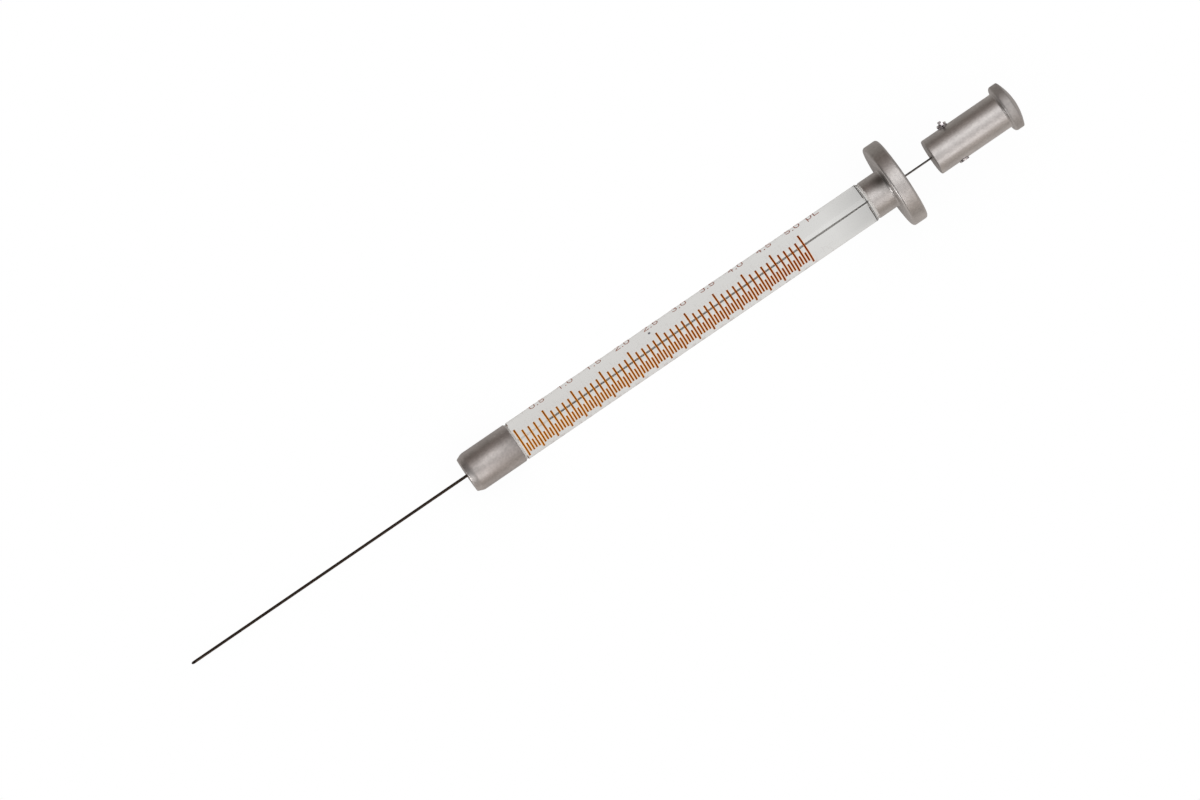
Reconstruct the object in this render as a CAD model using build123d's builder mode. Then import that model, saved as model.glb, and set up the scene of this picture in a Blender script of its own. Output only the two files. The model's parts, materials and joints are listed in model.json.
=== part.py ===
from build123d import *

import math
import os

# A precision-bore glass microsyringe with a cemented needle, in millimetres.
#
# It lies as it comes to rest: on the lower rim of its finger flange and on the shoulder
# of its needle hub, with the button end a little higher than the needle. The needle
# points to -X, the button to +X, and z = 0 is the surface it lies on.
#
# Every place along the syringe is measured on its own axis from the scale's zero mark,
# positive towards the button. Angles round it count from straight up, positive to -Y.

# ---------------------------------------------------------------- driving dimensions

# Printed scale
full_scale_length = 54.1
division_count = 100
divisions_per_number = 10
divisions_per_half = 5
volume_per_number = 0.5
mark_width = 0.34
ink_thickness = 0.02
number_mark_angles = (-31.7, 62.0)
half_mark_angles = (17.8, 62.0)
even_mark_angles = (-17.8, 49.5)
odd_mark_angles = (17.8, 48.0)
number_angle = -74.0
number_height = 1.8
number_stroke = 0.16
digit_pitch = 0.88
unit_pitch = 1.3
unit_gap = 3.85

# Glass barrel
glass_dia = 6.75
bore_dia = 0.343
glass_before_zero = 0.45
glass_past_scale = 12.3
front_spigot_dia = 4.4
front_spigot_length = 6.0
rear_spigot_dia = 4.2
rear_spigot_length = 3.2
glass_edge_chamfer = 0.12

# Cement films
spigot_film = 0.1
needle_film = 0.06
hub_joint = 0.3
flange_joint = 0.4
cement_recess = 0.18

# Needle
needle_dia = 0.474
needle_bore_dia = 0.127
needle_reach = 52.35
needle_bevel_length = 0.9
needle_before_zero = 0.2

# Needle hub
hub_dia = 6.8
hub_length = 9.2
hub_nose_length = 1.05
hub_nose_depth = 0.45
hub_shoulder_radius = 1.5
hub_nose_radius = 0.15
hub_rear_chamfer = 0.15

# Barrel flange
neck_dia = 6.58
neck_length = 3.6
neck_fillet = 0.35
flange_dia = 14.65
flange_thickness = 2.75
flange_edge_radius = 0.5
wire_guide_dia = 0.6
wire_guide_lead = 0.3

# Plunger
wire_clearance = 0.0115
wire_tip_chamfer = 0.03
drawn_divisions = 10
button_stop_gap = 0.2
button_dia = 6.16
button_length = 13.4
button_front_radius = 0.25
head_dia = 8.15
head_thickness = 1.65
head_dome = 0.9
head_front_radius = 0.55
head_rear_radius = 0.25
head_fillet = 0.3
wire_hold_length = 9.0
wire_hold_clearance = 0.03
wire_entry_dia = 1.1
wire_entry_depth = 0.35

# Setscrews
setscrew_dia = 1.8
setscrew_from_front = 4.2
setscrew_thread_clearance = 0.01
setscrew_edge_chamfer = 0.15
setscrew_slot_width = 0.35
setscrew_slot_depth = 0.45
setscrew_proud = {"setscrew_left": 0.55, "setscrew_right": 0.25}

# ---------------------------------------------------------- radii and places worked out

division = full_scale_length / division_count
drawn = drawn_divisions * division

glass_radius = glass_dia / 2
bore_radius = bore_dia / 2
front_spigot_radius = front_spigot_dia / 2
rear_spigot_radius = rear_spigot_dia / 2
needle_radius = needle_dia / 2
needle_seat_radius = needle_radius + needle_film
cement_radius = glass_radius - cement_recess
hub_radius = hub_dia / 2
neck_radius = neck_dia / 2
flange_radius = flange_dia / 2
wire_radius = bore_radius - wire_clearance
wire_hole_radius = wire_radius + wire_hold_clearance
button_radius = button_dia / 2
head_radius = head_dia / 2
setscrew_radius = setscrew_dia / 2

glass_front = -glass_before_zero
glass_rear = full_scale_length + glass_past_scale
front_spigot_end = glass_front - front_spigot_length
rear_spigot_end = glass_rear + rear_spigot_length

hub_rear = glass_front - hub_joint
hub_front = hub_rear - hub_length
hub_shoulder = hub_front + hub_nose_length
hub_socket_end = front_spigot_end - spigot_film

needle_rear = -needle_before_zero
needle_tip = hub_front - needle_reach

neck_front = glass_rear + flange_joint
flange_front = neck_front + neck_length
flange_back = flange_front + flange_thickness
flange_socket_end = rear_spigot_end + spigot_film

button_front = flange_back + button_stop_gap + drawn
head_front = button_front + button_length
head_rear = head_front + head_thickness
button_back = head_rear + head_dome
wire_end = button_front + wire_hold_length
setscrew_place = button_front + setscrew_from_front

# -------------------------------------------------------------------- how it lies

# Two arcs of the profile meet the surface: the flange's front edge and the hub's
# shoulder. The line that touches both gives the tilt.
nose_slope = math.atan2(hub_nose_depth, hub_nose_length)
hub_arc_place = hub_shoulder + hub_shoulder_radius * math.tan(nose_slope / 2)
hub_arc_height = hub_radius - hub_shoulder_radius
flange_arc_place = flange_front + flange_edge_radius
flange_arc_height = flange_radius - flange_edge_radius
arcs_apart = flange_arc_place - hub_arc_place
arcs_rise = flange_arc_height - hub_arc_height
tilt = math.atan2(arcs_rise, arcs_apart) + math.asin(
    (flange_edge_radius - hub_shoulder_radius) / math.hypot(arcs_apart, arcs_rise)
)

zero_height = (
    flange_arc_height * math.cos(tilt)
    + flange_edge_radius
    - flange_arc_place * math.sin(tilt)
)
zero_mark = Vector(-(needle_tip + button_back) / 2 * math.cos(tilt), 0, zero_height)
along = Vector(math.cos(tilt), 0, math.sin(tilt))

# Local X runs along the syringe and local Y points up, away from its axis.
lengthwise = Plane(origin=zero_mark, x_dir=along, z_dir=(0, -1, 0))
syringe_axis = Axis(origin=zero_mark, direction=along)


def crosswise(place):
    """The plane across the syringe at a place, facing the button."""
    return Plane(origin=zero_mark + along * place, x_dir=(0, 1, 0), z_dir=along)


def corner(profile, place, radius):
    """The corner of a lengthwise profile at a place and radius."""
    return profile.vertices().sort_by_distance((place, radius))[0]


def save(piece, name):
    """Label a finished piece and write it out under the same name."""
    piece.part.label = name
    export_step(piece.part, f"parts/{name}.step")


os.makedirs("parts", exist_ok=True)

# -------------------------------------------------------------------- glass barrel

with BuildPart() as glass_barrel:
    with BuildSketch(lengthwise) as profile:
        with BuildLine():
            Polyline(
                (front_spigot_end, needle_seat_radius),
                (front_spigot_end, front_spigot_radius),
                (glass_front, front_spigot_radius),
                (glass_front, glass_radius),
                (glass_rear, glass_radius),
                (glass_rear, rear_spigot_radius),
                (rear_spigot_end, rear_spigot_radius),
                (rear_spigot_end, bore_radius),
                (needle_rear, bore_radius),
                (needle_rear, needle_seat_radius),
                close=True,
            )
        make_face()
        for shoulder in (glass_front, glass_rear):
            chamfer(corner(profile, shoulder, glass_radius), glass_edge_chamfer)
    revolve(axis=syringe_axis)
save(glass_barrel, "glass_barrel")

# -------------------------------------------------------------------- printed scale

ink_radius = glass_radius + ink_thickness
whole_marks = range(0, division_count + 1)
number_marks = [m for m in whole_marks if m % divisions_per_number == 0]
half_marks = [
    m for m in whole_marks if m % divisions_per_half == 0 and m not in number_marks
]
short_marks = [m for m in whole_marks if m not in number_marks + half_marks]
mark_groups = (
    (number_marks, number_mark_angles),
    (half_marks, half_mark_angles),
    ([m for m in short_marks if m % 2 == 0], even_mark_angles),
    ([m for m in short_marks if m % 2 == 1], odd_mark_angles),
)

with BuildPart() as scale_lines:
    for marks, (first_angle, last_angle) in mark_groups:
        with BuildSketch(*[crosswise(m * division - mark_width / 2) for m in marks]):
            with BuildLine():
                outside, inside = (
                    CenterArc((0, 0), radius, 90 + first_angle, last_angle - first_angle)
                    for radius in (ink_radius, glass_radius)
                )
                Line(outside @ 0, inside @ 0)
                Line(outside @ 1, inside @ 1)
            make_face()
        extrude(amount=mark_width)
save(scale_lines, "scale_lines")

# Characters are strokes of even width, drawn over the print and cut down through a film
# that follows the glass. Round ones are made of two bowls, one above the other.
bowl_radius = (number_height - number_stroke) / 4
side = bowl_radius
top = 2 * bowl_radius
bottom = -top
descender = bottom - bowl_radius
lower_case_top = 0.4 * top
zero_width = 2 * side + number_stroke
drawing_height = 0.1
drawing_depth = drawing_height + number_height / 2


def bowl(centre_height, first, last):
    """An arc of a bowl, from one angle to another."""
    return JernArc(
        (
            bowl_radius * math.cos(math.radians(first)),
            centre_height + bowl_radius * math.sin(math.radians(first)),
        ),
        Vector(0, math.copysign(1, last - first)).rotate(Axis.Z, first),
        bowl_radius,
        last - first,
    )


def centre_lines(character):
    """The strokes of a character, as open paths round its middle."""
    if character == "1":
        return [Polyline((-side, top - bowl_radius), (0, top), (0, bottom))]
    if character == "2":
        curve = bowl(bowl_radius, 170, -35)
        return [curve + Polyline(curve @ 1, (-side, bottom), (side, bottom))]
    if character == "3":
        return [bowl(bowl_radius, 150, -90), bowl(-bowl_radius, 90, -150)]
    if character == "4":
        bar = bottom / 3
        return [
            Line((side / 2, bottom), (side / 2, top)),
            Polyline((side / 2, top), (-side, bar), (side, bar)),
        ]
    if character == "5":
        curve = bowl(-bowl_radius, 140, -150)
        return [curve, Polyline(curve @ 0, (-0.8 * side, top), (side, top))]
    if character == "µ":
        curve = bowl(bottom + bowl_radius, 180, 360)
        return [
            Line((-side, lower_case_top), (-side, descender)),
            curve + Line(curve @ 1, (side, lower_case_top)),
        ]
    return [Polyline((-side, top), (-side, bottom), (side, bottom))]


paths_of = {character: centre_lines(character) for character in "12345µL"}


def draw(text, pitch):
    """Draw a line of text on the current sketch, centred on its middle."""
    for index, character in enumerate(text):
        with Locations(((index - (len(text) - 1) / 2) * pitch, 0)):
            for path in paths_of.get(character, []):
                SlotArc(Wire(path.edges()), number_stroke)
            if character == "0":
                SlotOverall(number_height, zero_width, rotation=90)
                SlotOverall(
                    number_height - 2 * number_stroke,
                    zero_width - 2 * number_stroke,
                    rotation=90,
                    mode=Mode.SUBTRACT,
                )
        if character == ".":
            with Locations((0, bottom)):
                Circle(0.75 * number_stroke)


def number_plane(place):
    """The plane over the glass where text is drawn, reading towards the button."""
    outward = lengthwise.y_dir.rotate(Axis(origin=(0, 0, 0), direction=along), number_angle)
    centre = zero_mark + along * place + outward * (ink_radius + drawing_height)
    return Plane(origin=centre, x_dir=along, z_dir=outward)


with BuildPart() as scale_numbers:
    for mark in number_marks[1:]:
        with BuildSketch(number_plane(mark * division)):
            draw(f"{mark / divisions_per_number * volume_per_number:.1f}", digit_pitch)
        extrude(amount=-drawing_depth)
    with BuildSketch(number_plane(full_scale_length + unit_gap)):
        draw("µL", unit_pitch)
    extrude(amount=-drawing_depth)
    with BuildSketch(lengthwise):
        with Locations(((glass_front + glass_rear) / 2, glass_radius + ink_thickness / 2)):
            Rectangle(glass_rear - glass_front, ink_thickness)
    revolve(axis=syringe_axis, mode=Mode.INTERSECT)
save(scale_numbers, "scale_numbers")

# -------------------------------------------------------------------- needle and hub

with BuildPart() as needle:
    with BuildSketch(crosswise(needle_tip)):
        Circle(needle_radius)
        Circle(needle_bore_dia / 2, mode=Mode.SUBTRACT)
    extrude(amount=needle_rear - needle_tip)
    # The bevel takes the upper side off the end, and leaves the point at the bottom.
    with BuildSketch(lengthwise):
        with BuildLine():
            Polyline(
                (needle_tip, -needle_radius),
                (needle_tip, needle_radius),
                (needle_tip + needle_bevel_length, needle_radius),
                close=True,
            )
        make_face()
    extrude(amount=needle_dia, both=True, mode=Mode.SUBTRACT)
save(needle, "needle")

with BuildPart() as needle_hub:
    with BuildSketch(lengthwise) as profile:
        with BuildLine():
            Polyline(
                (hub_front, needle_seat_radius),
                (hub_front, hub_radius - hub_nose_depth),
                (hub_shoulder, hub_radius),
                (hub_rear, hub_radius),
                (hub_rear, front_spigot_radius + spigot_film),
                (hub_socket_end, front_spigot_radius + spigot_film),
                (hub_socket_end, needle_seat_radius),
                close=True,
            )
        make_face()
        fillet(corner(profile, hub_shoulder, hub_radius), hub_shoulder_radius)
        fillet(corner(profile, hub_front, hub_radius - hub_nose_depth), hub_nose_radius)
        chamfer(corner(profile, hub_rear, hub_radius), hub_rear_chamfer)
    revolve(axis=syringe_axis)
save(needle_hub, "needle_hub")

with BuildPart() as needle_cement:
    with BuildSketch(crosswise(hub_front)):
        Circle(needle_seat_radius)
        Circle(needle_radius, mode=Mode.SUBTRACT)
    extrude(amount=needle_rear - hub_front)
save(needle_cement, "needle_cement")

with BuildPart() as hub_cement:
    with BuildSketch(lengthwise):
        with BuildLine():
            Polyline(
                (hub_socket_end, needle_seat_radius),
                (hub_socket_end, front_spigot_radius + spigot_film),
                (hub_rear, front_spigot_radius + spigot_film),
                (hub_rear, cement_radius),
                (glass_front, cement_radius),
                (glass_front, front_spigot_radius),
                (front_spigot_end, front_spigot_radius),
                (front_spigot_end, needle_seat_radius),
                close=True,
            )
        make_face()
    revolve(axis=syringe_axis)
save(hub_cement, "hub_cement")

# -------------------------------------------------------------------- barrel flange

with BuildPart() as barrel_flange:
    with BuildSketch(lengthwise) as profile:
        with BuildLine():
            Polyline(
                (neck_front, rear_spigot_radius + spigot_film),
                (neck_front, neck_radius),
                (flange_front, neck_radius),
                (flange_front, flange_radius),
                (flange_back, flange_radius),
                (flange_back, wire_guide_dia / 2),
                (flange_socket_end, wire_guide_dia / 2),
                (flange_socket_end, rear_spigot_radius + spigot_film),
                close=True,
            )
        make_face()
        fillet(corner(profile, flange_front, neck_radius), neck_fillet)
        fillet(corner(profile, flange_front, flange_radius), flange_edge_radius)
        fillet(corner(profile, flange_back, flange_radius), flange_edge_radius)
        chamfer(corner(profile, flange_back, wire_guide_dia / 2), wire_guide_lead)
    revolve(axis=syringe_axis)
save(barrel_flange, "barrel_flange")

with BuildPart() as flange_cement:
    with BuildSketch(lengthwise):
        with BuildLine():
            Polyline(
                (glass_rear, rear_spigot_radius),
                (glass_rear, cement_radius),
                (neck_front, cement_radius),
                (neck_front, rear_spigot_radius + spigot_film),
                (rear_spigot_end, rear_spigot_radius + spigot_film),
                (rear_spigot_end, rear_spigot_radius),
                close=True,
            )
        make_face()
    revolve(axis=syringe_axis)
save(flange_cement, "flange_cement")

# -------------------------------------------------------------------- plunger

with BuildPart() as plunger_wire:
    with BuildSketch(crosswise(drawn)):
        Circle(wire_radius)
    extrude(amount=wire_end - drawn)
    chamfer(plunger_wire.faces().sort_by(syringe_axis)[0].edges(), wire_tip_chamfer)
save(plunger_wire, "plunger_wire")

with BuildPart() as plunger_button:
    with BuildSketch(lengthwise) as profile:
        with BuildLine():
            Polyline(
                (wire_end, 0),
                (wire_end, wire_hole_radius),
                (button_front + wire_entry_depth, wire_hole_radius),
                (button_front, wire_entry_dia / 2),
                (button_front, button_radius),
                (head_front, button_radius),
                (head_front, head_radius),
                (head_rear, head_radius),
            )
            dome = TangentArc((button_back, 0), (head_rear, head_radius), tangent=(0, 1))
            Line(dome @ 0, (wire_end, 0))
        make_face()
        fillet(corner(profile, button_front, button_radius), button_front_radius)
        fillet(corner(profile, head_front, button_radius), head_fillet)
        fillet(corner(profile, head_front, head_radius), head_front_radius)
        fillet(corner(profile, head_rear, head_radius), head_rear_radius)
    revolve(axis=syringe_axis)
    with BuildSketch(Plane(zero_mark + along * setscrew_place, x_dir=along, z_dir=(0, 1, 0))):
        Circle(setscrew_radius + setscrew_thread_clearance)
    extrude(amount=button_radius, both=True, mode=Mode.SUBTRACT)
save(plunger_button, "plunger_button")

# The two setscrews face each other across the button and pinch the wire between them.
setscrew_sides = {"setscrew_left": (0, 1, 0), "setscrew_right": (0, -1, 0)}

for name, outward in setscrew_sides.items():
    outer_end = button_radius + setscrew_proud[name]
    seat = Plane(zero_mark + along * setscrew_place, x_dir=along, z_dir=outward)
    with BuildPart() as setscrew:
        with BuildSketch(seat.offset(wire_radius)):
            Circle(setscrew_radius)
        extrude(amount=outer_end - wire_radius)
        end_edges = setscrew.edges().filter_by(GeomType.CIRCLE)
        chamfer(end_edges, setscrew_edge_chamfer)
        with BuildSketch(seat.offset(outer_end)):
            Rectangle(setscrew_slot_width, setscrew_dia)
        extrude(amount=-setscrew_slot_depth, mode=Mode.SUBTRACT)
    save(setscrew, name)
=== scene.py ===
import json
import math

import bmesh
import bpy
from mathutils import Matrix, Vector


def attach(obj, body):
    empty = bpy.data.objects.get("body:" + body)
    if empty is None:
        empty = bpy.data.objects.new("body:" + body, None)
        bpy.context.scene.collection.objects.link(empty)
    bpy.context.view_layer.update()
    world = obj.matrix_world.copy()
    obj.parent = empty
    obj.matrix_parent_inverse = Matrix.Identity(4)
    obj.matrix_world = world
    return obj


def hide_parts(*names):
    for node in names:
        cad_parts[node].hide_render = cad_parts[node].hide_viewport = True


# A glass microsyringe lying on its flange and needle hub, seen from above.
# Everything is in metres. Places along the syringe are measured on its own axis from
# the zero mark, towards the button; angles round it count from straight up, towards -Y.

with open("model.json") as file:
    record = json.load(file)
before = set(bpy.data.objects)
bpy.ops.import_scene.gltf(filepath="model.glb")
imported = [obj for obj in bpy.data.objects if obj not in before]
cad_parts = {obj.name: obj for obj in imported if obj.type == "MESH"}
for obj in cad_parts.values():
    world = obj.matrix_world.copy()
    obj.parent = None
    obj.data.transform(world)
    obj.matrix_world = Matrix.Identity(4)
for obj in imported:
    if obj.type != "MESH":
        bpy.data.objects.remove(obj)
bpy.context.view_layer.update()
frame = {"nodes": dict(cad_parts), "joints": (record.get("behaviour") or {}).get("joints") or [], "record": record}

MM = 0.001
mounts = {mount["name"]: mount for mount in frame["record"]["mounts"]}

# ------------------------------------------------------------------ the syringe's own axis

GLASS_RADIUS = 3.375 * MM
GLASS_FRONT = -0.45 * MM
GLASS_REAR = 66.4 * MM
DIVISION = 0.541 * MM
SCALE_LENGTH = 54 * MM

ALONG = Vector(frame["joints"][0]["axis"]).normalized()
SIDEWAYS = Vector((0, 1, 0))
UPWARD = ALONG.cross(SIDEWAYS)
ZERO_MARK = Vector(mounts["barrel"]["pos_m"]) - ALONG * (GLASS_FRONT + GLASS_REAR) / 2
FROM_AXES = Matrix((ALONG, SIDEWAYS, UPWARD)).transposed().to_4x4()
TO_WORLD = Matrix.Translation(ZERO_MARK) @ FROM_AXES
TILT = math.atan2(ALONG.z, ALONG.x)

# ------------------------------------------------------------------ camera

FRAME_WIDTH = 1200
FRAME_HEIGHT = 800
ZERO_MARK_X = 519.3
ZERO_MARK_Y = 439.8
AXIS_RISE = math.radians(34.37)
PIXEL = 0.1572 * MM
LEAN_TO_NEEDLE = math.radians(2.9)
CAMERA_DISTANCE = 1.5
SENSOR = 36.0
NEAREST_SEEN = 0.05
FARTHEST_SEEN = 20


def add_camera():
    """A long lens straight over the scale, leaning a little towards the needle."""
    to_camera = UPWARD * math.cos(LEAN_TO_NEEDLE) - ALONG * math.sin(LEAN_TO_NEEDLE)
    to_camera = to_camera.normalized()
    axis_seen = (ALONG - to_camera * ALONG.dot(to_camera)).normalized()
    across = to_camera.cross(axis_seen)
    right = axis_seen * math.cos(AXIS_RISE) - across * math.sin(AXIS_RISE)
    up = axis_seen * math.sin(AXIS_RISE) + across * math.cos(AXIS_RISE)
    aim = ZERO_MARK + right * (FRAME_WIDTH / 2 - ZERO_MARK_X) * PIXEL
    aim += up * (ZERO_MARK_Y - FRAME_HEIGHT / 2) * PIXEL
    data = bpy.data.cameras.new("camera")
    data.sensor_width = SENSOR
    data.lens = SENSOR * CAMERA_DISTANCE / (FRAME_WIDTH * PIXEL)
    data.clip_start = NEAREST_SEEN
    data.clip_end = FARTHEST_SEEN
    camera = bpy.data.objects.new("camera", data)
    bpy.context.scene.collection.objects.link(camera)
    turn = Matrix((right, up, to_camera)).transposed().to_4x4()
    camera.matrix_world = Matrix.Translation(aim + to_camera * CAMERA_DISTANCE) @ turn
    bpy.context.scene.camera = camera


add_camera()

# ------------------------------------------------------------------ node helpers


def add_node(tree, kind, settings=None, **inputs):
    """A node with its properties set and its inputs filled or linked by name."""
    node = tree.nodes.new(kind)
    for key, value in (settings or {}).items():
        setattr(node, key, value)
    for key, value in inputs.items():
        plug(tree, node.inputs[key.rstrip("_").replace("_", " ")], value)
    return node


def plug(tree, socket, value):
    """Link a socket to an output, or give it a constant."""
    if isinstance(value, bpy.types.NodeSocket):
        tree.links.new(value, socket)
    else:
        socket.default_value = value


def calc(tree, operation, *values):
    """One step of arithmetic on numbers or outputs."""
    node = tree.nodes.new("ShaderNodeMath")
    node.operation = operation
    for socket, value in zip(node.inputs, values):
        plug(tree, socket, value)
    return node.outputs[0]


def blend_of(tree, factor, first, second):
    """A mix of two colours."""
    node = add_node(tree, "ShaderNodeMix", {"data_type": "RGBA"}, Factor=factor)
    plug(tree, node.inputs[6], first)
    plug(tree, node.inputs[7], second)
    return node.outputs[2]


def between(tree, value, low, high, to_low=0.0, to_high=1.0):
    """A value moved from one range to another, and held at its ends."""
    node = add_node(
        tree, "ShaderNodeMapRange", Value=value,
        From_Min=low, From_Max=high, To_Min=to_low, To_Max=to_high)
    return node.outputs[0]


def part_of(tree, vector, axis):
    """The X, Y or Z of a vector."""
    return add_node(tree, "ShaderNodeSeparateXYZ", Vector=vector).outputs[axis]


def vector_of(tree, **parts):
    """A vector with this X, Y and Z."""
    return add_node(tree, "ShaderNodeCombineXYZ", **parts).outputs[0]


def noise_of(tree, place, scale, detail):
    """Cloudy noise at a place, about one half."""
    noise = add_node(tree, "ShaderNodeTexNoise", Vector=place, Scale=scale, Detail=detail)
    return noise.outputs["Fac"]


def field_of(tree, kind):
    """What a Geometry Nodes field node gives at each point."""
    return tree.nodes.new(kind).outputs[0]


# ------------------------------------------------------------------ materials

BLACK = (0, 0, 0, 1)
BLAST_GRAIN = 0.008 * MM
HEAD_FRONT = 92.2 * MM
HEAD_DULLING = 0.15
DULLING_RUN = 0.4 * MM
# painted shade on the neck beside the flange: the flange's dark front face, as the neck reflects it, painted into
# the steel's colour
NECK_PAINTED_SHADE = (69.7 * MM, 1.5 * MM, 2.9 * MM)
PAINTED_SHADE_CORE = 0.3 * MM
PAINTED_SHADE_REACH = 1.9 * MM
GLASS_INDEX = 1.473
GLASS_SPECK = (26.2 * MM, 2.31 * MM, 2.46 * MM)
SPECK_CORE = 0.16 * MM
SPECK_REACH = 0.30 * MM
THICK_INK_REACH = 0.07 * MM
THIN_INK_FROM = 0.16 * MM
INK_WAVER = 0.02 * MM
CEMENT_LUMPS = 0.03 * MM


def new_material(name):
    """An empty node material, its tree and its Principled shader."""
    material = bpy.data.materials.new(name)
    material.use_nodes = True
    tree = material.node_tree
    return material, tree, tree.nodes["Principled BSDF"]


def object_place(tree):
    """Object coordinates, which are the world's at rest."""
    return add_node(tree, "ShaderNodeTexCoord").outputs["Object"]


def place_on_axis(tree):
    """Object coordinates with X along the syringe from the zero mark."""
    turn = add_node(
        tree, "ShaderNodeMapping", {"vector_type": "TEXTURE"}, Vector=object_place(tree))
    turn.inputs["Location"].default_value = ZERO_MARK
    turn.inputs["Rotation"].default_value = (0, -TILT, 0)
    return turn.outputs[0]


def away_from(tree, place, spot):
    """How far a place is from one spot."""
    node = add_node(tree, "ShaderNodeVectorMath", {"operation": "DISTANCE"})
    plug(tree, node.inputs[0], place)
    node.inputs[1].default_value = spot
    return node.outputs["Value"]


def blasted_steel(name, light, dark, dull_past=None, painted_shade=None):
    """Bead-blasted steel over faint lathe rings.

    It may be duller past a place along the syringe, or darkened round a spot by painted shade.
    """
    material, tree, shader = new_material(name)
    place = place_on_axis(tree)
    along = part_of(tree, place, "X")
    grain = noise_of(tree, place, 7000.0, 2.0)
    rings = add_node(
        tree, "ShaderNodeTexNoise", {"noise_dimensions": "1D"}, W=along, Scale=9000.0, Detail=2.0)
    rings = rings.outputs["Fac"]
    cloud = noise_of(tree, place, 420.0, 5.0)
    speckle = noise_of(tree, place, 2800.0, 1.0)
    tone = between(tree, calc(tree, "ADD", cloud, speckle), 0.7, 1.3)
    colour = blend_of(tree, tone, (*dark, 1), (*light, 1))
    rough = between(tree, calc(tree, "ADD", grain, rings), 0.6, 1.4, 0.34, 0.44)
    if dull_past is not None:
        dulled = between(tree, along, dull_past, dull_past + DULLING_RUN, 0.0, HEAD_DULLING)
        colour = blend_of(tree, dulled, colour, BLACK)
        rough = calc(tree, "ADD", rough, dulled)
    # painted shade: the colour is darkened round one spot, a dark reflection painted in
    if painted_shade is not None:
        outside_spot = between(tree, away_from(tree, place, painted_shade), PAINTED_SHADE_CORE, PAINTED_SHADE_REACH)
        colour = blend_of(tree, outside_spot, (0.22, 0.21, 0.2, 1), colour)
    height = calc(tree, "MULTIPLY_ADD", rings, 0.25, grain)
    bump = add_node(
        tree, "ShaderNodeBump", Height=height, Strength=0.25, Distance=BLAST_GRAIN)
    plug(tree, shader.inputs["Base Color"], colour)
    plug(tree, shader.inputs["Roughness"], rough)
    plug(tree, shader.inputs["Normal"], bump.outputs["Normal"])
    shader.inputs["Metallic"].default_value = 1.0
    return material


def drawn_steel(name, light, dark, roughness):
    """Drawn tube or wire, with fine streaks along it."""
    material, tree, shader = new_material(name)
    stretch = add_node(tree, "ShaderNodeMapping", Vector=place_on_axis(tree))
    stretch.inputs["Scale"].default_value = (0.02, 1, 1)
    tone = between(tree, noise_of(tree, stretch.outputs[0], 14000.0, 3.0), 0.35, 0.65)
    rough = between(tree, tone, 0, 1, roughness * 1.15, roughness * 0.85)
    plug(tree, shader.inputs["Base Color"], blend_of(tree, tone, (*dark, 1), (*light, 1)))
    plug(tree, shader.inputs["Roughness"], rough)
    shader.inputs["Metallic"].default_value = 1.0
    return material


def plated_steel():
    """Bright plating on the setscrews, blotched at random with painted shade and painted highlights."""
    material, tree, shader = new_material("plated_steel")
    tone = between(tree, noise_of(tree, object_place(tree), 3000.0, 4.0), 0.42, 0.56)
    # painted shade and painted highlights: the colour swings at random between nearly black and nearly white,
    # standing in for dark crevices and bright glints
    colour = blend_of(tree, tone, (0.22, 0.20, 0.21, 1), (0.98, 0.94, 0.97, 1))
    plug(tree, shader.inputs["Base Color"], colour)
    plug(tree, shader.inputs["Roughness"], between(tree, tone, 0, 1, 0.22, 0.08))
    shader.inputs["Metallic"].default_value = 1.0
    return material


def clear_glass():
    """Borosilicate glass with faint smears and one speck of dirt, painted darker and warmer towards the needle end
    as shade.
    """
    material, tree, shader = new_material("clear_glass")
    place = place_on_axis(tree)
    stretch = add_node(tree, "ShaderNodeMapping", Vector=place)
    stretch.inputs["Scale"].default_value = (0.1, 1, 1)
    tone = between(tree, noise_of(tree, stretch.outputs[0], 260.0, 2.0), 0.3, 0.7)
    # painted shade: the glass's colour is darker and warmer at the needle end than at the flange end, standing in
    # for dimmer light seen through it there
    shaded_needle_end = blend_of(tree, tone, (0.80, 0.785, 0.76, 1), (0.84, 0.825, 0.80, 1))
    flange_end = blend_of(tree, tone, (0.86, 0.855, 0.835, 1), (0.90, 0.895, 0.875, 1))
    to_flange = between(tree, part_of(tree, place, "X"), 0, GLASS_REAR)
    colour = blend_of(tree, to_flange, shaded_needle_end, flange_end)
    outside_spot = between(tree, away_from(tree, place, GLASS_SPECK), SPECK_CORE, SPECK_REACH)
    colour = blend_of(tree, outside_spot, (0.02, 0.02, 0.03, 1), colour)
    plug(tree, shader.inputs["Base Color"], colour)
    shader.inputs["Roughness"].default_value = 0.0
    shader.inputs["IOR"].default_value = GLASS_INDEX
    shader.inputs["Transmission Weight"].default_value = 1.0
    return material


def fired_enamel(name, thick_inks, thin_inks, on_marks):
    """Brown fired print, from its ink at the zero mark to the redder ink at the flange.

    A mark is thick along its middle and thins at its edges. Elsewhere the print is worn in spots.
    """
    material, tree, shader = new_material(name)
    place = place_on_axis(tree)
    along = part_of(tree, place, "X")
    speckle = noise_of(tree, place, 6000.0, 3.0)
    if on_marks:
        waver = between(tree, speckle, 0.3, 0.7, -INK_WAVER, INK_WAVER)
        off_centre = calc(tree, "ADD", calc(tree, "PINGPONG", along, DIVISION / 2), waver)
        thin = between(tree, off_centre, THICK_INK_REACH, THIN_INK_FROM)
    else:
        thin = between(tree, speckle, 0.35, 0.65)
    fade = between(tree, along, 0, SCALE_LENGTH)
    colour = blend_of(
        tree, thin, blend_of(tree, fade, *thick_inks), blend_of(tree, fade, *thin_inks))
    plug(tree, shader.inputs["Base Color"], colour)
    shader.inputs["Roughness"].default_value = 0.5
    shader.inputs["Specular IOR Level"].default_value = 0.0
    return material


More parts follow.
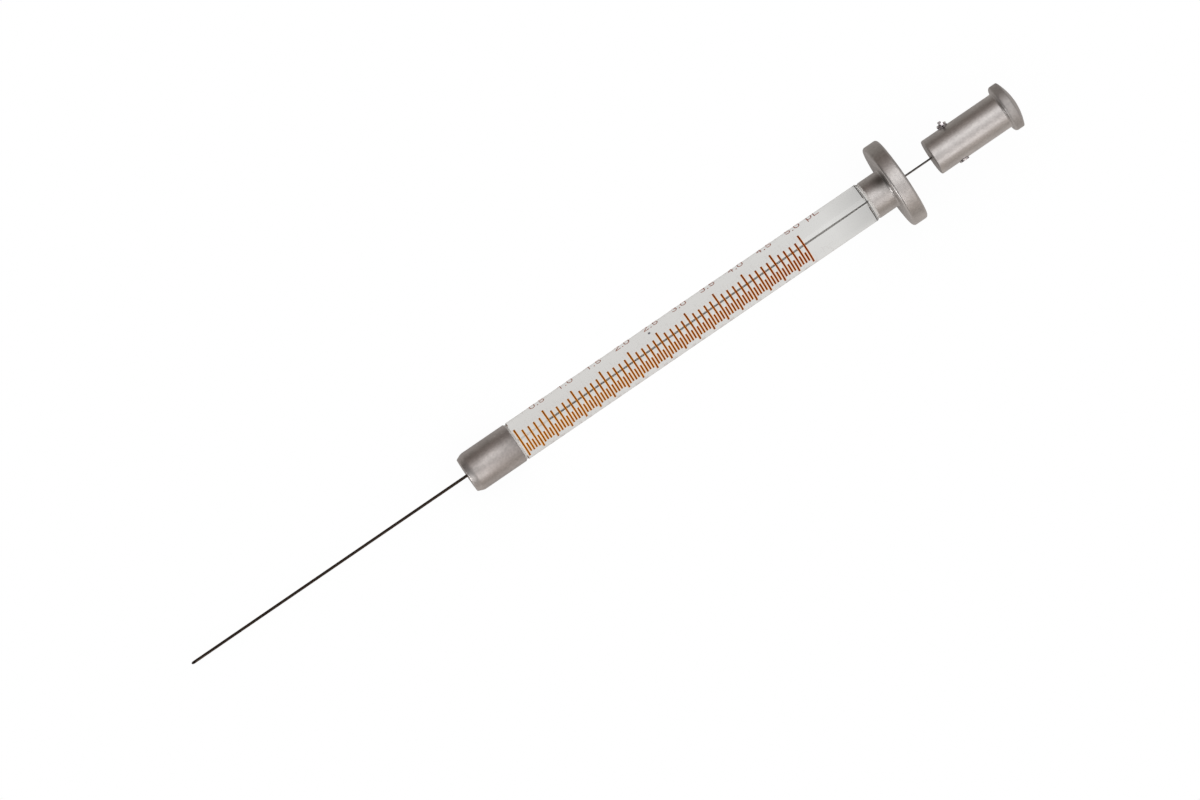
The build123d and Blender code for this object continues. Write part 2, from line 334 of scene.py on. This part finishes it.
def pale_cement():
    """Set epoxy cement, slightly uneven."""
    material, tree, shader = new_material("pale_cement")
    lumps = noise_of(tree, object_place(tree), 2500.0, 4.0)
    tone = between(tree, lumps, 0.3, 0.7)
    colour = blend_of(tree, tone, (0.50, 0.48, 0.46, 1), (0.64, 0.63, 0.61, 1))
    bump = add_node(tree, "ShaderNodeBump", Height=lumps, Strength=0.1, Distance=CEMENT_LUMPS)
    plug(tree, shader.inputs["Base Color"], colour)
    plug(tree, shader.inputs["Normal"], bump.outputs["Normal"])
    shader.inputs["Roughness"].default_value = 0.5
    return material


hub_steel = blasted_steel("hub_steel", (0.64, 0.60, 0.585), (0.50, 0.475, 0.46))
# the flange steel carries a spot of painted shade on its neck, next to the flange
flange_steel = blasted_steel(
    "flange_steel", (0.70, 0.675, 0.66), (0.56, 0.54, 0.53), painted_shade=NECK_PAINTED_SHADE)
button_steel = blasted_steel(
    "button_steel", (0.74, 0.715, 0.70), (0.60, 0.58, 0.57), dull_past=HEAD_FRONT)
# the needle's nearly black colour is painted shade: the dark surroundings that its polished steel reflects,
# painted into the colour
needle_steel = drawn_steel("needle_steel", (0.062, 0.043, 0.033), (0.03, 0.022, 0.017), 0.3)
wire_steel = drawn_steel("wire_steel", (0.36, 0.34, 0.33), (0.26, 0.25, 0.24), 0.28)
screw_steel = plated_steel()
glass = clear_glass()
mark_enamel = fired_enamel(
    "fired_enamel",
    ((0.22, 0.052, 0.006, 1), (0.13, 0.016, 0.004, 1)),
    ((0.88, 0.41, 0.02, 1), (0.76, 0.24, 0.015, 1)),
    on_marks=True)
number_enamel = fired_enamel(
    "number_enamel",
    ((0.42, 0.19, 0.13, 1), (0.32, 0.09, 0.055, 1)),
    ((0.54, 0.32, 0.25, 1), (0.42, 0.17, 0.12, 1)),
    on_marks=False)
cement = pale_cement()

finishes = {
    "glass_barrel": glass,
    "scale_lines": mark_enamel,
    "scale_numbers": number_enamel,
    "needle": needle_steel,
    "needle_hub": hub_steel,
    "needle_cement": cement,
    "hub_cement": cement,
    "barrel_flange": flange_steel,
    "flange_cement": cement,
    "plunger_wire": wire_steel,
    "plunger_button": button_steel,
    "setscrew_left": screw_steel,
    "setscrew_right": screw_steel,
}
for node, finish in finishes.items():
    mesh = frame["nodes"][node].data
    mesh.materials.clear()
    mesh.materials.append(finish)

# ------------------------------------------------------------------ making pieces

SHARP_OVER = math.radians(30)
SEGMENTS_ROUND = 256


def settle(mesh, name, finish):
    """Put a mesh made on the syringe's own axis in place, smooth it and give it its finish."""
    mesh.name = name
    mesh.transform(TO_WORLD)
    mesh.shade_smooth()
    mesh.set_sharp_from_angle(angle=SHARP_OVER)
    mesh.materials.clear()
    mesh.materials.append(finish)
    piece = bpy.data.objects.new(name, mesh)
    bpy.context.scene.collection.objects.link(piece)
    return piece


def turned(name, profile, finish):
    """A closed profile of (place, radius) pairs turned round the syringe's axis."""
    shape = bmesh.new()
    turns = [2 * math.pi * i / SEGMENTS_ROUND for i in range(SEGMENTS_ROUND)]
    loops = []
    for place, radius in profile:
        loops.append([
            shape.verts.new((place, -radius * math.sin(turn), radius * math.cos(turn)))
            for turn in turns
        ])
    for here, there in zip(loops, loops[1:] + loops[:1]):
        for i in range(SEGMENTS_ROUND):
            shape.faces.new((here[i], here[i - 1], there[i - 1], there[i]))
    bmesh.ops.recalc_face_normals(shape, faces=shape.faces)
    mesh = bpy.data.meshes.new(name)
    shape.to_mesh(mesh)
    shape.free()
    return settle(mesh, name, finish)


def new_tree(name, sizes):
    """A Geometry Nodes tree with a named input for every size."""
    tree = bpy.data.node_groups.new(name, "GeometryNodeTree")
    kinds = {float: "NodeSocketFloat", int: "NodeSocketInt"}
    for label, value in sizes.items():
        tree.interface.new_socket(label, in_out="INPUT", socket_type=kinds[type(value)])
    tree.interface.new_socket("Finish", in_out="INPUT", socket_type="NodeSocketMaterial")
    tree.interface.new_socket("Mesh", in_out="OUTPUT", socket_type="NodeSocketGeometry")
    return tree, tree.nodes.new("NodeGroupInput").outputs, tree.nodes.new("NodeGroupOutput")


def grow(tree, name, sizes, finish):
    """Run a Geometry Nodes tree once with these sizes, and keep its result as a plain mesh."""
    holder = bpy.data.objects.new(name + "_holder", bpy.data.meshes.new(name + "_holder"))
    bpy.context.scene.collection.objects.link(holder)
    modifier = holder.modifiers.new("tree", "NODES")
    modifier.node_group = tree
    values = {**sizes, "Finish": finish}
    for item in tree.interface.items_tree:
        if item.in_out == "INPUT":
            modifier[item.identifier] = values[item.name]
    holder.update_tag()
    evaluated = holder.evaluated_get(bpy.context.evaluated_depsgraph_get())
    mesh = bpy.data.meshes.new_from_object(evaluated)
    holder.modifiers.remove(modifier)
    bpy.data.objects.remove(holder)
    return mesh


def at_angle(tree, radius, angle, place):
    """The point at a place along the axis, and at a radius and an angle round it."""
    inward = calc(tree, "MULTIPLY", calc(tree, "SINE", angle), -1.0)
    side = calc(tree, "MULTIPLY", radius, inward)
    rise = calc(tree, "MULTIPLY", radius, calc(tree, "COSINE", angle))
    return vector_of(tree, X=place, Y=side, Z=rise)


# ------------------------------------------------------------------ turned and drawn steel

WELD_DISTANCE = 0.001 * MM


def welded(name, node, finish, body):
    """A copy of a CAD solid with its seams welded, so that highlights run on across them."""
    shape = bmesh.new()
    shape.from_mesh(frame["nodes"][node].data)
    bmesh.ops.remove_doubles(shape, verts=shape.verts, dist=WELD_DISTANCE)
    mesh = bpy.data.meshes.new(name)
    shape.to_mesh(mesh)
    shape.free()
    mesh.transform(TO_WORLD.inverted())
    piece = settle(mesh, name, finish)
    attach(piece, body)
    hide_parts(node)


welded("ground_needle", "needle", needle_steel, "barrel")
welded("turned_hub", "needle_hub", hub_steel, "barrel")
welded("turned_flange", "barrel_flange", flange_steel, "barrel")
welded("drawn_wire", "plunger_wire", wire_steel, "plunger")
welded("turned_button", "plunger_button", button_steel, "plunger")

# ------------------------------------------------------------------ glass barrel

EDGE_CHAMFER = 0.12 * MM
FRONT_SPIGOT_END = -6.45 * MM
FRONT_SPIGOT_RADIUS = 2.2 * MM
REAR_SPIGOT_END = 69.6 * MM
REAR_SPIGOT_RADIUS = 2.1 * MM
BORE_RADIUS = 0.1715 * MM
NEEDLE_SEAT = -0.2 * MM
NEEDLE_SEAT_RADIUS = 0.297 * MM

tube_profile = [
    (FRONT_SPIGOT_END, NEEDLE_SEAT_RADIUS),
    (FRONT_SPIGOT_END, FRONT_SPIGOT_RADIUS),
    (GLASS_FRONT, FRONT_SPIGOT_RADIUS),
    (GLASS_FRONT, GLASS_RADIUS - EDGE_CHAMFER),
    (GLASS_FRONT + EDGE_CHAMFER, GLASS_RADIUS),
    (GLASS_REAR - EDGE_CHAMFER, GLASS_RADIUS),
    (GLASS_REAR, GLASS_RADIUS - EDGE_CHAMFER),
    (GLASS_REAR, REAR_SPIGOT_RADIUS),
    (REAR_SPIGOT_END, REAR_SPIGOT_RADIUS),
    (REAR_SPIGOT_END, BORE_RADIUS),
    (NEEDLE_SEAT, BORE_RADIUS),
    (NEEDLE_SEAT, NEEDLE_SEAT_RADIUS),
]
glass_tube = turned("glass_tube", tube_profile, glass)
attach(glass_tube, "barrel")
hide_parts("glass_barrel")
glass_tube.visible_shadow = False

# ------------------------------------------------------------------ printed graduations

graduation_sizes = {
    "Marks": 101,
    "Marks per Number": 10,
    "Marks per Half": 5,
    "Division": DIVISION,
    "Mark Width": 0.34 * MM,
    "Ink Thickness": 0.02 * MM,
    "Glass Radius": GLASS_RADIUS,
    "Facets": 25,
    "Number First": math.radians(-31.7),
    "Number Last": math.radians(62.0),
    "Half First": math.radians(17.8),
    "Half Last": math.radians(62.0),
    "Even First": math.radians(-17.8),
    "Even Last": math.radians(49.5),
    "Odd First": math.radians(17.8),
    "Odd Last": math.radians(48.0),
    "End Wander": math.radians(0.5),
    "Seed": 7,
}


def graduations_tree():
    """A row of flat bars, one for each mark, bent round the glass to its kind's two angles."""
    tree, size, result = new_tree("graduations", graduation_sizes)
    row = add_node(tree, "GeometryNodeMeshLine", Count=size["Marks"])
    plug(tree, row.inputs["Offset"], vector_of(tree, X=size["Division"]))
    bar = add_node(
        tree, "GeometryNodeMeshCube", Vertices_X=2, Vertices_Y=size["Facets"], Vertices_Z=2,
        Size=vector_of(tree, X=size["Mark Width"], Y=1.0, Z=size["Ink Thickness"]))
    bars = add_node(
        tree, "GeometryNodeInstanceOnPoints", Points=row.outputs[0], Instance=bar.outputs["Mesh"])

    index = field_of(tree, "GeometryNodeInputIndex")
    kinds = (
        ("Number", calc(tree, "MODULO", index, size["Marks per Number"])),
        ("Half", calc(tree, "MODULO", index, size["Marks per Half"])),
        ("Even", calc(tree, "MODULO", index, 2.0)),
    )
    shape = bars.outputs[0]
    for end, seed in (("First", 0), ("Last", 1)):
        angle = size["Odd " + end]
        for kind, remainder in reversed(kinds):
            whole = calc(tree, "LESS_THAN", remainder, 0.5)
            choice = add_node(
                tree, "GeometryNodeSwitch", {"input_type": "FLOAT"},
                Switch=whole, False_=angle, True_=size[kind + " " + end])
            angle = choice.outputs[0]
        wander = add_node(tree, "FunctionNodeRandomValue", {"data_type": "FLOAT"})
        plug(tree, wander.inputs[2], calc(tree, "MULTIPLY", size["End Wander"], -1.0))
        plug(tree, wander.inputs[3], size["End Wander"])
        plug(tree, wander.inputs["Seed"], calc(tree, "ADD", size["Seed"], float(seed)))
        store = add_node(
            tree, "GeometryNodeStoreNamedAttribute",
            {"data_type": "FLOAT", "domain": "INSTANCE"}, Geometry=shape, Name=end,
            Value=calc(tree, "ADD", angle, wander.outputs[1]))
        shape = store.outputs[0]
    loose = add_node(tree, "GeometryNodeRealizeInstances", Geometry=shape)

    spot = field_of(tree, "GeometryNodeInputPosition")
    where = add_node(tree, "ShaderNodeSeparateXYZ", Vector=spot)
    ends = []
    for end in ("First", "Last"):
        read = add_node(
            tree, "GeometryNodeInputNamedAttribute", {"data_type": "FLOAT"}, Name=end)
        ends.append(read.outputs[0])
    share = calc(tree, "ADD", where.outputs["Y"], 0.5)
    turn = calc(tree, "MULTIPLY_ADD", calc(tree, "SUBTRACT", ends[1], ends[0]), share, ends[0])
    middle = calc(tree, "MULTIPLY_ADD", size["Ink Thickness"], 0.5, size["Glass Radius"])
    radius = calc(tree, "ADD", middle, where.outputs["Z"])
    bent = add_node(tree, "GeometryNodeSetPosition", Geometry=loose.outputs[0])
    plug(tree, bent.inputs["Position"], at_angle(tree, radius, turn, where.outputs["X"]))
    painted = add_node(
        tree, "GeometryNodeSetMaterial", Geometry=bent.outputs[0], Material=size["Finish"])
    tree.links.new(painted.outputs[0], result.inputs[0])
    return tree


marks = grow(graduations_tree(), "graduation_marks", graduation_sizes, mark_enamel)
graduation_marks = settle(marks, "graduation_marks", mark_enamel)
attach(graduation_marks, "barrel")
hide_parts("scale_lines")
graduation_marks.visible_shadow = False

# ------------------------------------------------------------------ setscrews

SETSCREW_PLACE = 82.96 * MM
WIRE_RADIUS = 0.16 * MM
BUTTON_RADIUS = 3.08 * MM

setscrew_sizes = {
    "Length": 3.0 * MM,
    "Outside Radius": 0.9 * MM,
    "Thread Pitch": 0.35 * MM,
    "Thread Depth": 0.12 * MM,
    "End Chamfer": 0.15 * MM,
    "Slot Width": 0.35 * MM,
    "Slot Depth": 0.45 * MM,
    "Steps Round": 64,
    "Steps Along": 110,
}


def setscrew_tree():
    """A rod along Z whose surface follows a helical groove, with a slot across its far end."""
    tree, size, result = new_tree("threaded_setscrew", setscrew_sizes)
    rod = add_node(
        tree, "GeometryNodeMeshCylinder", Vertices=size["Steps Round"],
        Side_Segments=size["Steps Along"], Radius=size["Outside Radius"], Depth=size["Length"])
    spot = field_of(tree, "GeometryNodeInputPosition")
    where = add_node(tree, "ShaderNodeSeparateXYZ", Vector=spot)
    angle = calc(tree, "ARCTAN2", where.outputs["Y"], where.outputs["X"])
    turns = calc(tree, "DIVIDE", angle, 2 * math.pi)
    pitches = calc(tree, "DIVIDE", where.outputs["Z"], size["Thread Pitch"])
    phase = calc(tree, "FRACT", calc(tree, "SUBTRACT", pitches, turns))
    groove = calc(tree, "ABSOLUTE", calc(tree, "MULTIPLY_ADD", phase, 2.0, -1.0))
    groove = between(tree, groove, 0.1, 0.9)
    groove_depth = calc(tree, "MULTIPLY", groove, size["Thread Depth"])
    threaded = calc(tree, "SUBTRACT", size["Outside Radius"], groove_depth)
    half_length = calc(tree, "MULTIPLY", size["Length"], 0.5)
    to_end = calc(tree, "SUBTRACT", half_length, calc(tree, "ABSOLUTE", where.outputs["Z"]))
    end_radius = calc(tree, "SUBTRACT", size["Outside Radius"], size["End Chamfer"])
    radius = calc(tree, "MINIMUM", threaded, calc(tree, "ADD", end_radius, to_end))
    outward = add_node(tree, "ShaderNodeVectorMath", {"operation": "NORMALIZE"})
    plug(tree, outward.inputs[0], vector_of(tree, X=where.outputs["X"], Y=where.outputs["Y"]))
    reach = add_node(tree, "ShaderNodeVectorMath", {"operation": "SCALE"}, Scale=radius)
    plug(tree, reach.inputs[0], outward.outputs[0])
    lift = calc(tree, "MULTIPLY_ADD", size["Length"], 0.5, where.outputs["Z"])
    seated = add_node(tree, "ShaderNodeVectorMath", {"operation": "ADD"})
    plug(tree, seated.inputs[0], reach.outputs[0])
    plug(tree, seated.inputs[1], vector_of(tree, Z=lift))
    thread = add_node(
        tree, "GeometryNodeSetPosition", Geometry=rod.outputs["Mesh"], Position=seated.outputs[0])

    slot_box = vector_of(
        tree, X=size["Slot Width"], Y=calc(tree, "MULTIPLY", size["Outside Radius"], 4.0),
        Z=calc(tree, "MULTIPLY", size["Slot Depth"], 2.0))
    cutter = add_node(tree, "GeometryNodeMeshCube", Size=slot_box)
    raised = add_node(
        tree, "GeometryNodeTransform", Geometry=cutter.outputs["Mesh"],
        Translation=vector_of(tree, Z=size["Length"]))
    slotted = tree.nodes.new("GeometryNodeMeshBoolean")
    slotted.operation = "DIFFERENCE"
    tree.links.new(thread.outputs[0], slotted.inputs["Mesh 1"])
    tree.links.new(raised.outputs[0], slotted.inputs["Mesh 2"])
    loose = add_node(tree, "GeometryNodeRealizeInstances", Geometry=slotted.outputs["Mesh"])
    painted = add_node(
        tree, "GeometryNodeSetMaterial", Geometry=loose.outputs[0], Material=size["Finish"])
    tree.links.new(painted.outputs[0], result.inputs[0])
    return tree


setscrew = setscrew_tree()
for side, proud, outward in (("left", 0.55 * MM, 1), ("right", 0.25 * MM, -1)):
    sizes = {**setscrew_sizes, "Length": BUTTON_RADIUS + proud - WIRE_RADIUS}
    mesh = grow(setscrew, "threaded_setscrew_" + side, sizes, screw_steel)
    onto_wire = Matrix.Translation((SETSCREW_PLACE, outward * WIRE_RADIUS, 0))
    mesh.transform(onto_wire @ Matrix.Rotation(-outward * math.pi / 2, 4, "X"))
    piece = settle(mesh, "threaded_setscrew_" + side, screw_steel)
    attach(piece, "plunger")
    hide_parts("setscrew_" + side)

# ------------------------------------------------------------------ floor, lamps and world

FLOOR_SIZE = 4.0
FLOOR_GREY = 0.8
FLOOR_RAMP_REACH = 100 * MM
SHADOW_REACH = 14 * MM
SHADOW_TO_EYE = 0.04
SHADOW_IN_GLASS = 0.20
FLOOR_IN_GLASS = 0.80
FLANGE_SHADOW = 44 * MM
FLANGE_SHADOW_RUN = 6 * MM


def ramp_of(tree, value, shades):
    """A colour ramp over (place from 0 to 1, colour) pairs."""
    ramp = add_node(tree, "ShaderNodeValToRGB", Fac=value)
    elements = ramp.color_ramp.elements
    first, *middle, last = shades
    for element, (place, colour) in zip(elements, (first, last)):
        element.position = place
        element.color = (*colour, 1)
    for place, colour in middle:
        elements.new(place).color = (*colour, 1)
    return ramp.outputs["Color"]


def add_floor():
    """A pale floor.

    It is almost white to the camera, level behind glass and dimmer under the flange's end, and a
    soft ramp in metal.
    """
    material, tree, shader = new_material("pale_floor")
    shader.inputs["Base Color"].default_value = (FLOOR_GREY, FLOOR_GREY, FLOOR_GREY, 1)
    shader.inputs["Roughness"].default_value = 0.8
    split = add_node(tree, "ShaderNodeSeparateXYZ", Vector=object_place(tree))
    depth = split.outputs["Y"]
    shade = add_node(
        tree, "ShaderNodeAmbientOcclusion", {"samples": 8}, Distance=SHADOW_REACH).outputs["AO"]
    in_metal = ramp_of(tree, between(tree, depth, -FLOOR_RAMP_REACH, FLOOR_RAMP_REACH), (
        (0.00, (0.36, 0.33, 0.30)),
        (0.30, (0.42, 0.39, 0.36)),
        (0.45, (0.62, 0.58, 0.55)),
        (0.53, (0.52, 0.49, 0.47)),
        (0.60, (0.34, 0.32, 0.30)),
        (1.00, (0.27, 0.25, 0.23)),
    ))
    in_metal = blend_of(tree, shade, BLACK, in_metal)
    aside = between(tree, calc(tree, "ABSOLUTE", depth), 0.0, SHADOW_REACH, 1.0, 0.0)
    under = between(tree, split.outputs["X"], FLANGE_SHADOW, FLANGE_SHADOW + FLANGE_SHADOW_RUN)
    dimmed = calc(tree, "MULTIPLY", aside, under)
    through = calc(tree, "MULTIPLY_ADD", dimmed, -SHADOW_IN_GLASS, FLOOR_IN_GLASS)
    faint = between(tree, shade, 0.0, 1.0, 1.0 - SHADOW_TO_EYE, 1.0)
    ray = add_node(tree, "ShaderNodeLightPath").outputs
    level = blend_of(tree, ray["Is Glossy Ray"], faint, in_metal)
    level = blend_of(tree, ray["Is Transmission Ray"], level, through)
    in_syringe = calc(tree, "MAXIMUM", ray["Is Glossy Ray"], ray["Is Transmission Ray"])
    seen = calc(tree, "MAXIMUM", ray["Is Camera Ray"], in_syringe)
    white = add_node(tree, "ShaderNodeEmission", Color=level)
    mix = add_node(tree, "ShaderNodeMixShader", Fac=seen)
    tree.links.new(shader.outputs["BSDF"], mix.inputs[1])
    tree.links.new(white.outputs["Emission"], mix.inputs[2])
    tree.links.new(mix.outputs["Shader"], tree.nodes["Material Output"].inputs["Surface"])
    mesh = bpy.data.meshes.new("floor")
    half = FLOOR_SIZE / 2
    corners = [(-half, -half, 0), (half, -half, 0), (half, half, 0), (-half, half, 0)]
    mesh.from_pydata(corners, [], [(0, 1, 2, 3)])
    mesh.materials.append(material)
    floor = bpy.data.objects.new("floor", mesh)
    bpy.context.scene.collection.objects.link(floor)


add_floor()


def add_softbox(name, centre, width, depth, power, aim=(0, 0, 0), in_metal=True):
    """A rectangular lamp turned towards a point, seen at most in metal."""
    data = bpy.data.lights.new(name, "AREA")
    data.shape = "RECTANGLE"
    data.size = width
    data.size_y = depth
    data.energy = power
    lamp = bpy.data.objects.new(name, data)
    bpy.context.scene.collection.objects.link(lamp)
    lamp.location = centre
    lamp.rotation_euler = (Vector(centre) - Vector(aim)).to_track_quat("Z", "Y").to_euler()
    lamp.visible_camera = False
    lamp.visible_transmission = False
    lamp.visible_glossy = in_metal


add_softbox("overhead_softbox", (0.0, -0.3, 2.0), 1.2, 1.2, 16, in_metal=False)
add_softbox("thumb_end_softbox", (0.115, 0.12, 0.45), 0.18, 0.32, 0.17, aim=(0.07, 0, 0))
add_softbox("needle_end_softbox", (-0.06, -0.33, 0.32), 0.16, 0.22, 0.115, aim=(-0.02, 0, 0))
add_softbox(
    "needle_glint_softbox", (-0.13, -0.042, 0.03), 0.03, 0.05, 0.05, aim=(-0.026, 0, 0.003))


def add_world():
    """Studio surroundings: dark behind and beyond the needle, lighter and warmer in front."""
    world = bpy.data.worlds.new("studio")
    bpy.context.scene.world = world
    world.use_nodes = True
    tree = world.node_tree
    place = add_node(tree, "ShaderNodeTexCoord").outputs["Generated"]
    split = add_node(tree, "ShaderNodeSeparateXYZ", Vector=place)
    sky = ramp_of(tree, between(tree, split.outputs["Y"], -1, 1), (
        (0.00, (0.42, 0.37, 0.33)),
        (0.04, (0.54, 0.49, 0.45)),
        (0.13, (0.68, 0.63, 0.60)),
        (0.25, (0.80, 0.76, 0.74)),
        (0.45, (0.70, 0.68, 0.67)),
        (0.62, (0.64, 0.62, 0.61)),
        (0.77, (0.50, 0.46, 0.44)),
        (0.88, (0.27, 0.235, 0.215)),
        (1.00, (0.15, 0.125, 0.11)),
    ))
    to_thumb = between(tree, split.outputs["X"], 0.3, 1.0, 1.0, 0.5)
    to_needle = between(tree, split.outputs["X"], -0.25, -0.8, 1.0, 0.2)
    lit = calc(tree, "MULTIPLY", to_thumb, to_needle)
    sky = blend_of(tree, lit, BLACK, sky)
    ray = add_node(tree, "ShaderNodeLightPath").outputs
    grey = (FLOOR_IN_GLASS, FLOOR_IN_GLASS, FLOOR_IN_GLASS, 1)
    sky = blend_of(tree, ray["Is Transmission Ray"], sky, grey)
    sky = blend_of(tree, ray["Is Camera Ray"], sky, (1, 1, 1, 1))
    plug(tree, tree.nodes["Background"].inputs["Color"], sky)


add_world()

bpy.context.scene.view_settings.view_transform = "Standard"
